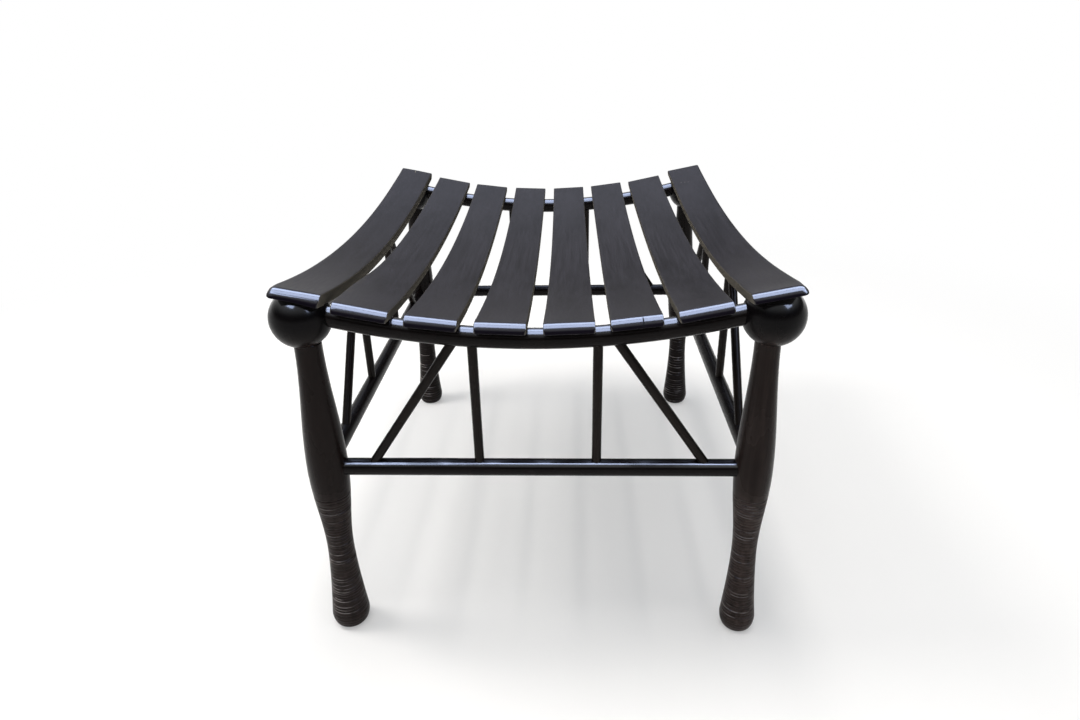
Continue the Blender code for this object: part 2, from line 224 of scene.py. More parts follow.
class StrutSizes(bpy.types.PropertyGroup):
    """Sizes of the posts and braces."""

    radius: length(0.0040, "Radius", "Radius of a post or brace")
    front_post: length(0.049, "Front posts", "Posts from the middle of the front and back")
    side_post: length(0.060, "Side posts", "Posts from the middle of the left and right sides")
    front_inset: length(0.038, "Front brace inset", "Foot of a front brace from the leg's axis")
    side_inset: length(0.056, "Side brace inset", "Foot of a side brace from the leg's axis")
    brace_space: length(0.0030, "Brace space", "Clear space between a brace and a post at the rail")
    end_space: length(0.002, "End space", "A strut stops this far from the axis of the bar it enters")


class SlatSizes(bpy.types.PropertyGroup):
    """Sizes of the slats."""

    width: length(0.0393, "Width", "Width of a slat")
    thickness: length(0.0085, "Thickness", "Thickness of a slat")
    dip: length(0.0185, "Dip", "Dip of an inner slat between the front and back rails")
    outer_dip: length(0.0225, "Outer dip", "Dip of an outer slat between its balls")
    overhang: length(0.024, "Overhang", "Along the slat, from the rail's axis to its end")
    nose_radius: length(0.0081, "Nose radius", "Rounding of the top at each end")
    toe_radius: length(0.0003, "Toe radius", "Round-over of the bottom edge at each end")
    corner_radius: length(0.0020, "Corner radius", "Rounding of the corners seen from above")
    outer_corner_radius: length(0.0035, "Outer corner radius", "The same on the outside of the outer slats")
    edge_ease: length(0.0008, "Edge ease", "Rounding along both sides")
    outer_edge: length(0.0022, "Outer edge", "Round-over along the outside of the outer slats")
    tip_width: length(0.0064, "Tip width", "Width of the same round-over at the front tips")
    tip_height: length(0.0055, "Tip height", "Height of the same round-over at the front tips")
    tip_under: length(0.0026, "Tip underside", "Round-over under the front tips")
    tip_reach: length(0.026, "Tip reach", "How far the rounding of the front tips fades out along the slat")
    plane_reach: length(0.060, "Planed reach", "How far along a slat its end is planed down")
    saddle_depth: length(0.0008, "Saddle depth", "A rail lies this deep in the underside of a slat")
    bed_gap: length(0.0003, "Bed gap", "Clearance under an outer slat")
    outer_inset: length(0.004, "Outer inset", "Centre line of an outer slat, in from the leg's axis")
    gap_trim: length(0.0028, "Gap trim", "How much narrower the outermost gaps are")
    unevenness: length(0.0001, "Unevenness", "How far a planed top strays from a true surface")
    nose_slope: degrees(5, "Nose slope", "Slope at which the nose leaves the flat top")
    outer_tilt: degrees(11, "Outer tilt", "Tilt of an outer slat up towards the outside")


class StoolFinishes(bpy.types.PropertyGroup):
    """Colours and gloss of the stool."""

    slat_stain: colour((0.0172, 0.0150, 0.0157), "Slat stain", "Black stain of the slats")
    slat_worn: colour((0.040, 0.033, 0.025), "Slat wear", "Stain rubbed thin on edges of the slats")
    # The colour of the ends is the darker stain of the end grain, with painted shade and a painted blue
    # reflection added
    slat_end: colour((0.0040, 0.0026, 0.0062), "Slat ends", "Stain of the end grain, the darkest of a slat")
    slat_side: colour((0.120, 0.110, 0.093), "Slat sides", "Stain on the sawn sides of the slats")
    leg_stain: colour((0.0070, 0.0040, 0.0034), "Leg stain", "Black stain of the legs")
    leg_worn: colour((0.028, 0.0203, 0.0182), "Leg wear", "Brown that shows through on the legs")
    ball_stain: colour((0.0026, 0.0021, 0.0024), "Ball stain", "Black stain of the balls on the legs")
    # Painted glints: this light colour on the lips of the rings stands in for their highlights
    ring_lip_glint: colour((0.34, 0.31, 0.30), "Ring lips", "Rubbed lips of the rings round the legs")
    bar_stain: colour((0.0046, 0.0031, 0.0030), "Bar stain", "Black stain of rails and stretchers")
    strut_stain: colour((0.0095, 0.0068, 0.0058), "Strut stain", "Black stain of posts and braces")
    peg_wood: colour((0.36, 0.24, 0.14), "Peg wood", "Bare wood of the pegs")
    bare_wood: colour((0.52, 0.46, 0.38), "Chipped wood", "Pale wood where the stain is chipped off")
    seat_gloss: share(0.38, "Seat roughness", "Roughness of the tops of the slats, dulled by use")
    nose_gloss: share(0.30, "Nose roughness", "Roughness of the ends of the slats")
    turned_gloss: share(0.27, "Turned roughness", "Roughness of legs, bars and struts")
    polish_gloss: share(0.11, "Polish roughness", "Roughness of the polish on noses, rails and balls")
    polish_ior: index(1.5, "Polish index", "Refractive index of the polish")
    wax_ior: index(1.68, "Wax index", "Refractive index of the polish on the front stretcher")
    lacquer_ior: index(1.185, "Lacquer index", "Refractive index of the lacquer")
    outer_ior: index(1.165, "Outer lacquer index", "Refractive index of the duller lacquer on outer slats")


class StageSettings(bpy.types.PropertyGroup):
    """Floor, light and camera."""

    floor_colour: colour((0.95, 0.95, 0.95), "Floor", "Colour of the floor")
    floor_lift: share(0.30, "Floor lift", "How far the floor is lifted towards the white of the backdrop")
    room_top: colour((0.735, 0.75, 0.765), "Ceiling", "Light of the room from above")
    room_front: colour((0.02, 0.02, 0.02), "Front wall", "Light of the room from behind the camera")
    room_left: colour((0.60, 0.60, 0.60), "Left wall", "Light of the room from the left of the back")
    room_right: colour((0.03, 0.03, 0.03), "Right wall", "Light of the room from the right of the back")
    room_level: colour((1.0, 1.0, 1.0), "Backdrop", "Light of the backdrop, low round the room")
    key_power: brightness(18.0, "Strip light", "Power of the long light over the stool", "POWER")
    fill_power: brightness(20.0, "Fill light", "Power of the soft light on the left", "POWER")
    sheen_power: brightness(13.5, "Sheen panels", "Brightness of the panels that seat and polish mirror")
    sky_power: brightness(1.0, "Sky panel", "Brightness of the panel far behind, which the seat mirrors")
    white_from: length(0.55, "White from", "Distance at which the floor starts to fade to white")
    white_at: length(1.30, "White at", "Distance at which the floor is the white of the backdrop")
    camera_place: bpy.props.FloatVectorProperty(name="Camera", default=(0.0274, -0.7166, 0.5133),
                                                subtype="TRANSLATION", unit="LENGTH",
                                                description="Where the camera stands")
    camera_turn: degrees(2.70, "Turn", "Turn of the camera to the left")
    camera_pitch: degrees(25.62, "Pitch", "How far the camera looks down")
    camera_roll: degrees(-1.32, "Roll", "Roll of the camera")
    camera_lens: bpy.props.FloatProperty(name="Lens", default=23.69, min=1, unit="CAMERA",
                                         description="Focal length on a 36 mm sensor")


def spread(start, end, steps):
    """Evenly spaced numbers from start to end, both included."""
    return [start + (end - start) * step / steps for step in range(steps + 1)]


def ease(start, end, part):
    """A smooth change from start to end, level at both."""
    return start + (end - start) * (1 - cos(pi * part)) / 2


def arc_radius(chord, dip):
    """Radius of an arc that dips by a given amount at the middle of its chord."""
    return (chord ** 2 / 4 + dip ** 2) / (2 * dip)


def bed_height(legs):
    """Height of the beds on the balls, at the leg axes."""
    return legs.ball_height + legs.ball_radius - legs.bed_depth


def skin(bm, rows):
    """Join rows of vertices, each a closed loop, into a tube."""
    for low, high in zip(rows, rows[1:]):
        count = len(low)
        for spot in range(count):
            following = (spot + 1) % count
            bm.faces.new((low[spot], low[following], high[following], high[spot]))


def closed_mesh(bm, name):
    """Close the open ends, face everything outwards and hand over a smooth-shaded mesh."""
    rims = [edge for edge in bm.edges if edge.is_boundary]
    bmesh.ops.holes_fill(bm, edges=rims, sides=0)
    bmesh.ops.recalc_face_normals(bm, faces=bm.faces)
    mesh = bpy.data.meshes.new(name)
    bm.to_mesh(mesh)
    bm.free()
    mesh.shade_smooth()
    mesh.set_sharp_from_angle(angle=SMOOTH_ANGLE)
    return mesh


def add_piece(name, mesh, placement, finish, node):
    """Put a visible piece in the place of the solid that it stands for."""
    mesh.materials.append(finish)
    piece = bpy.data.objects.new(name, mesh)
    piece.matrix_world = placement
    bpy.context.scene.collection.objects.link(piece)
    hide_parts(node)
    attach(piece, "root")
    return piece


class Grain(NamedTuple):
    """A noise in the wood: its steps per metre along a piece's own axes, its detail and its roughness."""

    steps: tuple
    detail: float
    roughness: float = 0.55


# Noise is taken this far apart for two pieces, at most
PIECES_APART = (3.1, 5.7, 4.3)

# Slats: grain, wear, polish, marks, and painted shade on the ends. A range is where a mask rises from none
# to full
SLAT_STREAKS = Grain((420, 9, 420), 4)
SLAT_FIBRES = Grain((2100, 45, 2100), 2)
SLAT_CLOUDS = Grain((26, 9, 26), 2)
SLAT_SCUFFS = Grain((160, 120, 160), 5, 0.7)
STREAK_SHARE = 0.6                              # of streaks in the tone, the rest is clouds or fibres
TONE_RANGE = (0.30, 0.70)
SLAT_DARK, SLAT_LIGHT, SAWN_DARK = 0.72, 1.28, 0.80
EDGE_WORN_FROM, EDGE_WORN_AT = 0.0016, 0.0002   # in from the edge
EDGE_RUB_RANGE, EDGE_RUB = (0.45, 0.68), 0.55
NOSE_RANGE, END_GRAIN_AND_SHADE_RANGE = (0.06, 0.20), (0.35, 0.75)
POLISH_FROM, POLISH_UNTIL = (0.16, 0.25), (0.80, 0.92)
SAWN_RANGE, SAWN_ROUGHNESS = (0.5, 0.9), 0.5
SEAT_PATCHES, SEAT_STREAKS = 0.10, 0.16         # in the roughness
SLAT_BUMP = (0.12, 0.00012)                     # strength and height
MARK_CORE = 0.75                                # share of a mark's radius that is full
SPLIT_GRAIN, SPLIT_STRAY = Grain((60, 260, 60), 2), 0.0012
SPLIT_WIDTH = (0.00030, 0.00070)                # from its middle to full wood
SPLIT_END = (-0.017, -0.013)                    # where it closes, from the rail's axis
SPLIT_DARK, SPLIT_DULL = 0.2, 0.4

# Legs: brown and dust among the rings, and painted glints on the lips of the rings
LEG_STREAKS = Grain((260, 260, 7), 4)
LEG_CLOUDS = Grain((34, 34, 16), 3)
LEG_SCUFFS = Grain((190, 190, 320), 4, 0.7)
LEG_PATCHES = Grain((75, 75, 130), 3)
DRY_BELOW, DRY_ABOVE = 0.006, 0.012             # the dry brown fades out here, about the top ring
BROWN_RANGE, BROWN_PLAIN, BROWN_RINGED = (0.34, 0.70), 0.15, 0.6
DUST_RANGE, DUST, DUST_LIGHT = (0.35, 0.75), 0.4, 1.7
# The painted glints on the ring lips come in patches and fade out on faces that look right, away from the
# light
PATCH_RANGE, SHADED_SIDE_RANGE = (0.36, 0.56), (0.0, 0.55)
LIP_RANGE, LIP_GLINT_MOST = (0.48, 0.70), 0.8
LEG_DULL_PATCHES, RINGED_DULL = 0.10, 0.07      # in the roughness
LEG_STREAK_BUMP, LEG_SCUFF_BUMP, LEG_BUMP = 0.5, 0.3, (0.10, 0.00012)

# Bars and struts: grain, wear and polish
RAIL_STREAKS = Grain((9, 300, 300), 4)
STRETCHER_STREAKS = Grain((300, 300, 9), 4)
STRUT_STREAKS = Grain((340, 340, 11), 4)
BAR_CLOUDS = Grain((30, 30, 30), 3)
BAR_SCUFFS = Grain((240, 240, 240), 5, 0.7)
BAR_DARK, BAR_LIGHT = 0.75, 1.30
BAR_RUB_RANGE, BAR_RUB = (0.62, 0.80), 0.35
BAR_PATCHES, BAR_STREAKS = 0.12, 0.06           # in the roughness
BAR_STREAK_BUMP, BAR_SCUFF_BUMP, BAR_BUMP = 0.6, 0.2, (0.10, 0.0001)
UPPER_RANGE = (0.30, 0.80)                      # how far a polished face looks up
SHOULDER_FROM, SHOULDER_UNTIL = (0.45, 0.68), (0.84, 0.95)
WAX_PATCHES = Grain((70, 70, 22), 3)
WAX_RANGE, WAX_LEAST = (0.36, 0.60), 0.45

# Pegs
PEG_STREAKS, PEG_RANGE, PEG_DARK = Grain((900, 900, 40), 4), (0.35, 0.70), 0.62
PEG_ROUGHNESS, PEG_DULL_STREAKS, PEG_BUMP = 0.55, 0.15, (0.2, 0.0001)


class Value:
    """A number that varies over a surface, for use in Python expressions."""

    def __init__(self, recipe, socket):
        self.recipe = recipe
        self.socket = socket

    def __add__(self, other):
        return self.recipe.math("ADD", self, other)

    __radd__ = __add__

    def __sub__(self, other):
        return self.recipe.math("SUBTRACT", self, other)

    def __rsub__(self, other):
        return self.recipe.math("SUBTRACT", other, self)

    def __mul__(self, other):
        return self.recipe.math("MULTIPLY", self, other)

    __rmul__ = __mul__

    def __truediv__(self, other):
        return self.recipe.math("DIVIDE", self, other)

    def __abs__(self):
        return self.recipe.math("ABSOLUTE", self)


class Recipe:
    """A node tree that is written as expressions."""

    def __init__(self, tree):
        self.tree = tree
        tree.nodes.clear()

    def node(self, kind, settings=None, inputs=None, output=0):
        """Add a node: its settings first, then the values or links of its sockets."""
        made = self.tree.nodes.new(kind)
        for name, value in (settings or {}).items():
            setattr(made, name, value)
        for name, value in (inputs or {}).items():
            socket = self.pick(made.inputs, name)
            if isinstance(value, Value):
                self.tree.links.new(value.socket, socket)
            else:
                socket.default_value = value
        return Value(self, self.pick(made.outputs, output)) if made.outputs else None

    @staticmethod
    def pick(sockets, name):
        """The socket with this name that is in use, or the one at this place among those."""
        in_use = [socket for socket in sockets if socket.enabled]
        if isinstance(name, int):
            return in_use[name]
        return next(socket for socket in in_use if socket.name == name)

    def math(self, operation, first, second=None):
        """One sum on numbers."""
        inputs = {0: first} if second is None else {0: first, 1: second}
        return self.node("ShaderNodeMath", {"operation": operation}, inputs)

    def blend(self, part, first, second):
        """A colour between two others."""
        first, second = (c if isinstance(c, Value) else (*c, 1) for c in (first, second))
        return self.node("ShaderNodeMix", {"data_type": "RGBA"}, {"Factor": part, "A": first, "B": second})

    def rise(self, value, low, high):
        """0 up to low, 1 from high on, with a smooth change between them."""
        return self.node("ShaderNodeMapRange", {"interpolation_type": "SMOOTHSTEP"},
                         {"Value": value, "From Min": low, "From Max": high})

    def vector(self, operation, first, second, output=0):
        """One sum on vectors."""
        return self.node("ShaderNodeVectorMath", {"operation": operation}, {0: first, 1: second}, output)

    def axes(self, vector):
        """The three numbers of a vector."""
        split = {"Vector": vector}
        return [self.node("ShaderNodeSeparateXYZ", None, split, axis) for axis in "XYZ"]

    def noise(self, place, grain):
        """Soft noise from 0 to 1, as its grain says."""
        stretched = self.vector("MULTIPLY", place, grain.steps)
        return self.node("ShaderNodeTexNoise", None, {"Vector": stretched, "Scale": 1.0,
                                                      "Detail": grain.detail, "Roughness": grain.roughness})

    def bump(self, height, strength, distance):
        """A normal that follows a height."""
        return self.node("ShaderNodeBump", None,
                         {"Height": height, "Strength": strength, "Distance": distance})


def new_recipe(name):
    """An empty material and the recipe of its nodes."""
    material = bpy.data.materials.new(name)
    material.use_nodes = True
    return material, Recipe(material.node_tree)


def own_place(recipe):
    """Places on a piece, moved by a different amount for each piece so that no two look the same."""
    place = recipe.node("ShaderNodeTexCoord", output="Object")
    number = recipe.node("ShaderNodeObjectInfo", output="Random")
    apart = recipe.node("ShaderNodeCombineXYZ", None,
                        {axis: number * step for axis, step in zip("XYZ", PIECES_APART)})
    return place, recipe.vector("ADD", place, apart)


def shade(stain, factor):
    """A stain made darker or lighter."""
    return [part * factor for part in stain]


def seen_by(recipe, *kinds):
    """1 for rays of these kinds, 0 for the rest."""
    rays = [recipe.node("ShaderNodeLightPath", output=f"Is {kind} Ray") for kind in kinds]
    return sum(rays[1:], rays[0])


def lacquer(recipe, looks, base, roughness, normal, polish=0.0, polish_ior=None, sawn=None, ior=None):
    """Finish a recipe as stained wood with a thin lacquer.

    A share of polish goes over it, and a share that is left as it was sawn has no lacquer.
    """
    surface = recipe.node("ShaderNodeBsdfPrincipled", None, {
        "Base Color": base, "Roughness": roughness, "Normal": normal, "IOR": ior or looks.lacquer_ior,
        "Coat Weight": polish, "Coat Roughness": looks.polish_gloss,
        "Coat IOR": polish_ior or looks.polish_ior})
    if sawn is not None:
        bare = recipe.node("ShaderNodeBsdfDiffuse", None,
                           {"Color": base, "Roughness": SAWN_ROUGHNESS, "Normal": normal})
        surface = recipe.node("ShaderNodeMixShader", None, {0: sawn, 1: surface, 2: bare})
    recipe.node("ShaderNodeOutputMaterial", None, {"Surface": surface})


def facing(recipe, axis):
    """How far a face looks along one of the piece's own axes, from -1 to 1."""
    return recipe.axes(recipe.node("ShaderNodeTexCoord", output="Normal"))["XYZ".index(axis)]


def upper_side(recipe, axis):
    """Share of polish: full on faces that look along the axis that points up, none on the rest."""
    return recipe.rise(facing(recipe, axis), *UPPER_RANGE)


def shoulders(recipe, axis):
    """Share of polish on a bar that heels have rubbed dull along its top, and in patches beside it."""
    up = facing(recipe, axis)
    _, grain_place = own_place(recipe)
    kept = recipe.rise(recipe.noise(grain_place, WAX_PATCHES), *WAX_RANGE)
    shoulder = recipe.rise(up, *SHOULDER_FROM) * (1 - recipe.rise(up, *SHOULDER_UNTIL))
    return shoulder * (WAX_LEAST + (1 - WAX_LEAST) * kept)


def slat_finish(name, looks, slats, marks=(), split=None, outer=0):
    """Stained slat: dull on the seat, glossy on the noses, rubbed brown on its edges, and dark blue on its
    end faces, where the stain of the end grain carries painted shade and a painted reflection.

    Each mark is its place on the slat, its radius and its colour. A split lies this far to the right of
    the slat's middle, through its front nose. An outer slat, -1 on the left and 1 on the right, is duller
    on top and lacquered on its outside, where the sides of the rest are left as they were sawn.
    """
    material, recipe = new_recipe(name)
    place, grain_place = own_place(recipe)
    across, along, _ = recipe.axes(place)
    streak = recipe.noise(grain_place, SLAT_STREAKS)
    fibre = recipe.noise(grain_place, SLAT_FIBRES)
    cloud = recipe.noise(grain_place, SLAT_CLOUDS)
    scuff = recipe.noise(grain_place, SLAT_SCUFFS)
    half = slats.width / 2
    edge = recipe.rise(abs(across), half - EDGE_WORN_FROM, half - EDGE_WORN_AT)
    sideways, ahead, _ = recipe.axes(recipe.node("ShaderNodeTexCoord", output="Normal"))
    outward = ahead * along / (SPACING_Y / 2 + slats.overhang)
    nose = recipe.rise(outward, *NOSE_RANGE)
    polish = recipe.rise(outward, *POLISH_FROM) * (1 - recipe.rise(outward, *POLISH_UNTIL))
    wear_and_glint = edge * recipe.rise(scuff, *EDGE_RUB_RANGE) * EDGE_RUB
    tone = recipe.rise(streak * STREAK_SHARE + cloud * (1 - STREAK_SHARE), *TONE_RANGE)
    stain = recipe.blend(tone, shade(looks.slat_stain, SLAT_DARK), shade(looks.slat_stain, SLAT_LIGHT))
    base = recipe.blend(wear_and_glint, stain, tuple(looks.slat_worn))
    sawn = recipe.rise(sideways * -outer if outer else abs(sideways), *SAWN_RANGE)
    # Painted shade and painted blue reflection on the lower noses and end faces, over the darker stain of
    # their end grain
    base = recipe.blend(recipe.rise(outward, *END_GRAIN_AND_SHADE_RANGE), base, tuple(looks.slat_end))
    sawn_tone = recipe.blend(tone, shade(looks.slat_side, SAWN_DARK), tuple(looks.slat_side))
    base = recipe.blend(sawn, base, sawn_tone)
    for spot, radius, spot_colour in marks:
        off = recipe.vector("DISTANCE", place, spot, "Value")
        ragged = off + (scuff - 0.5) * radius
        base = recipe.blend(1 - recipe.rise(ragged, radius * MARK_CORE, radius), base, spot_colour)
    worn_dull = looks.seat_gloss + (cloud - 0.5) * SEAT_PATCHES + (streak - 0.5) * SEAT_STREAKS
    roughness = worn_dull + nose * (looks.nose_gloss - worn_dull)
    normal = recipe.bump(streak * STREAK_SHARE + fibre * (1 - STREAK_SHARE), *SLAT_BUMP)
    if split is not None:
        wander = (recipe.noise(grain_place, SPLIT_GRAIN) - 0.5) * SPLIT_STRAY
        crack = 1 - recipe.rise(abs(across - split + wander), *SPLIT_WIDTH)
        crack = crack * (1 - recipe.rise(along + SPACING_Y / 2, *SPLIT_END))
        base = recipe.blend(crack, base, shade(looks.slat_stain, SPLIT_DARK))
        polish = polish * (1 - crack)
        roughness = roughness + crack * SPLIT_DULL
    lacquer(recipe, looks, base, roughness, normal, polish, sawn=sawn,
            ior=looks.outer_ior if outer else looks.lacquer_ior)
    return material


def turned_finish(name, looks, legs, faded):
    """Stained leg: nearly black above, browner and drier where the rings are cut, with painted glints on the
    up-facing lips of the rings. A faded one is lighter.
    """
    material, recipe = new_recipe(name)
    worn = shade(looks.leg_worn, faded)
    place, grain_place = own_place(recipe)
    _, _, height = recipe.axes(place)
    streak = recipe.noise(grain_place, LEG_STREAKS)
    cloud = recipe.noise(grain_place, LEG_CLOUDS)
    scuff = recipe.noise(grain_place, LEG_SCUFFS)
    ringed = 1 - recipe.rise(height, legs.ring_top - DRY_BELOW, legs.ring_top + DRY_ABOVE)
    browned = BROWN_PLAIN * faded ** 3 + BROWN_RINGED * ringed
    brown = recipe.rise(streak * 0.5 + cloud * 0.5, *BROWN_RANGE) * browned
    base = recipe.blend(brown, shade(looks.leg_stain, faded), worn)
    dusty = ringed * recipe.rise(scuff, *DUST_RANGE) * DUST * faded
    base = recipe.blend(dusty, base, shade(worn, DUST_LIGHT))
    # Painted glints on the ring lips: light colour on up-facing lips, in patches, none on faces that look
    # right
    patch = recipe.noise(grain_place, LEG_PATCHES)
    wear_and_glint = recipe.rise(patch, *PATCH_RANGE) * (1 - recipe.rise(facing(recipe, "X"), *SHADED_SIDE_RANGE))
    lips = ringed * recipe.rise(facing(recipe, "Z"), *LIP_RANGE) * wear_and_glint * min(1, LIP_GLINT_MOST / faded)
    base = recipe.blend(lips, base, tuple(looks.ring_lip_glint))
    neck_height = legs.ball_height - legs.ball_radius
    base = recipe.blend(recipe.rise(height, neck_height, legs.ball_height), base, tuple(looks.ball_stain))
    roughness = looks.turned_gloss + (cloud - 0.5) * LEG_DULL_PATCHES + ringed * RINGED_DULL
    normal = recipe.bump(streak * LEG_STREAK_BUMP + scuff * LEG_SCUFF_BUMP, *LEG_BUMP)
    lacquer(recipe, looks, base, roughness, normal, upper_side(recipe, "Z") * (1 - ringed))
    return material


def shaved_finish(name, looks, stain, streaks, polished=None, polish_ior=None):
    """Stained round bar, with its grain along the axis on which its streaks are longest.

    What is polished, if anything, is a function of the recipe.
    """
    material, recipe = new_recipe(name)
    _, grain_place = own_place(recipe)
    streak = recipe.noise(grain_place, streaks)
    cloud = recipe.noise(grain_place, BAR_CLOUDS)
    scuff = recipe.noise(grain_place, BAR_SCUFFS)
    tone = recipe.rise(streak * STREAK_SHARE + cloud * (1 - STREAK_SHARE), *TONE_RANGE)
    wear_and_glint = recipe.rise(scuff, *BAR_RUB_RANGE) * BAR_RUB
    stained = recipe.blend(tone, shade(stain, BAR_DARK), shade(stain, BAR_LIGHT))
    base = recipe.blend(wear_and_glint, stained, tuple(looks.leg_worn))
    roughness = looks.turned_gloss + (cloud - 0.5) * BAR_PATCHES + (streak - 0.5) * BAR_STREAKS
    normal = recipe.bump(streak * BAR_STREAK_BUMP + scuff * BAR_SCUFF_BUMP, *BAR_BUMP)
    lacquer(recipe, looks, base, roughness, normal, polished(recipe) if polished else 0.0, polish_ior)
    return material


def peg_finish(looks):
    """Bare split wood of the pegs, with darker grain lines."""
    material, recipe = new_recipe("peg_bare_wood")
    _, grain_place = own_place(recipe)
    streak = recipe.noise(grain_place, PEG_STREAKS)
    line = recipe.rise(streak, *PEG_RANGE)
    base = recipe.blend(line, tuple(looks.peg_wood), shade(looks.peg_wood, PEG_DARK))
    roughness = PEG_ROUGHNESS + streak * PEG_DULL_STREAKS
    normal = recipe.bump(streak, *PEG_BUMP)
    shader = recipe.node("ShaderNodeBsdfPrincipled", None,
                         {"Base Color": base, "Roughness": roughness, "Normal": normal})
    recipe.node("ShaderNodeOutputMaterial", None, {"Surface": shader})
    return material


class Ring:
    """One ring cut round a leg by hand: uneven in depth, a little aslant and fading in places."""

    def __init__(self, chance, height, legs):
        self.height = height
        self.depth = legs.ring_depth * chance.uniform(*RING_DEPTHS)
        self.width = legs.ring_width * chance.uniform(*RING_WIDTHS)
        self.slant = chance.uniform(-RING_SLANT, RING_SLANT)
        self.slant_turn = chance.uniform(0, 2 * pi)
        self.fade_turn = chance.uniform(0, 2 * pi)
        self.fade = chance.uniform(0, RING_FADE)

    def cut(self, height, turn):
        """How far the ring lowers the surface here. Its lips stand up a little."""
        off = (height - self.height - self.slant * cos(turn - self.slant_turn)) / self.width
        if abs(off) > RING_REACH:
            return 0
        depth = self.depth * (1 - self.fade * (1 + cos(turn - self.fade_turn)) / 2)
        lips = exp(-(off - LIP_PLACE) ** 2) + exp(-(off + LIP_PLACE) ** 2)
        return depth * (exp(-off ** 2) - LIP_HEIGHT * lips)


def cut_rings(chance, legs):
    """The rings of one leg, from the top down."""
    rings = []
    height = legs.ring_top + chance.uniform(-RING_START, RING_START)
    while height > legs.ring_bottom:
        rings.append(Ring(chance, height, legs))
        height -= legs.ring_spacing * chance.uniform(*RING_GAPS)
    return rings


def leg_radius(legs, swell_height, neck_height, height):
    """Radius of the leg between its foot and its ball, before rings are cut."""
    if height >= swell_height:
        part = (neck_height - height) / (neck_height - swell_height)
        return ease(legs.neck_radius, legs.swell_radius, part)
    if height >= legs.ankle_height:
        part = (swell_height - height) / (swell_height - legs.ankle_height)
        return ease(legs.swell_radius, legs.ankle_radius, part)
    part = (legs.ankle_height - height) / (legs.ankle_height - legs.foot_height)
    return legs.ankle_radius + (legs.foot_radius - legs.ankle_radius) * part ** legs.foot_flare


def leg_rows(legs, swell_height):
    """Radius and height of the turned leg, from the floor to the top of the ball, and what is ball."""
    neck_height = legs.ball_height - sqrt(legs.ball_radius ** 2 - legs.neck_radius ** 2)
    rows = []
    for turn in spread(0, pi / 2, FOOT_ROWS):
        out = legs.pad_radius + (legs.foot_radius - legs.pad_radius) * sin(turn)
        rows.append((out, legs.foot_height * (1 - cos(turn)), False))
    ringed_to = legs.ring_top + RINGED_ABOVE
    ringed = spread(legs.foot_height, ringed_to, round((ringed_to - legs.foot_height) / RING_STEP))
    plain = spread(ringed_to, neck_height, SHANK_ROWS)
    for height in ringed[1:] + plain[1:]:
        rows.append((leg_radius(legs, swell_height, neck_height, height), height, False))
    crease = -acos(legs.neck_radius / legs.ball_radius)
    for latitude in spread(crease, BALL_TOP, BALL_ROWS)[1:]:
        height = legs.ball_height + legs.ball_radius * sin(latitude)
        rows.append((legs.ball_radius * cos(latitude), height, True))
    return rows


def leg_mesh(name, legs, swell_height, rings, bed_normal, girth, hand):
    """A leg as it comes off the lathe, standing on the origin, with its bed cut on the ball."""
    bm = bmesh.new()
    rows = []
    for radius, height, is_ball in leg_rows(legs, swell_height):
        near = [ring for ring in rings if abs(ring.height - height) < RING_NEAR]
        lean = 0 if is_ball else hand * (legs.splay_from - height) * tan(legs.splay)
        row = []
        for turn in spread(0, 2 * pi, LEG_SIDES)[:-1]:
            out = radius * (1 if is_ball else girth) - sum(ring.cut(height, turn) for ring in near)
            row.append(bm.verts.new((out * cos(turn) + lean, out * sin(turn), height)))
        rows.append(row)
    skin(bm, rows)
    bmesh.ops.bisect_plane(bm, geom=bm.verts[:] + bm.edges[:] + bm.faces[:], dist=1e-7,
                           plane_co=(0, 0, bed_height(legs)), plane_no=bed_normal, clear_outer=True)
    return closed_mesh(bm, name)


def uneven(radius, amount, along, turn, seed):
    """A shaved bar's radius, which strays a little from place to place."""
    spot = Vector((cos(turn) * BAR_NOISE_ROUND, sin(turn) * BAR_NOISE_ROUND, along * BAR_NOISE_ALONG))
    return radius + amount * noise.noise(spot + Vector([seed * step for step in BARS_APART]))


def rod_mesh(name, size, radius, amount, seed):
    """A straight shaved rod along Z, centred on the origin."""
    bm = bmesh.new()
    rows = []
    for height in spread(-size / 2, size / 2, ROD_ROWS):
        row = []
        for turn in spread(0, 2 * pi, BAR_SIDES)[:-1]:
            out = uneven(radius - amount, amount, height, turn, seed)
            row.append(bm.verts.new((out * cos(turn), out * sin(turn), height)))
        rows.append(row)
    skin(bm, rows)
    return closed_mesh(bm, name)


def rail_mesh(name, bend_radius, reach, radius, amount, seed):
    """A round bar bent in the XZ plane, with the low point of its axis on the origin."""
    bm = bmesh.new()
    rows = []
    half_angle = asin(reach / bend_radius)
    for angle in spread(-half_angle, half_angle, RAIL_ROWS):
        row = []
        for turn in spread(0, 2 * pi, BAR_SIDES)[:-1]:
            out = uneven(radius - amount, amount, angle * bend_radius, turn, seed)
            level = bend_radius - out * cos(turn)
            row.append(bm.verts.new((level * sin(angle), out * sin(turn), bend_radius - level * cos(angle))))
        rows.append(row)
    skin(bm, rows)
    return closed_mesh(bm, name)


def rod_placement(start, end):
    """Turn and move a rod along Z so that it runs from start to end."""
    turn = (end - start).to_track_quat("Z", "Y").to_matrix().to_4x4()
    return Matrix.Translation((start + end) / 2) @ turn


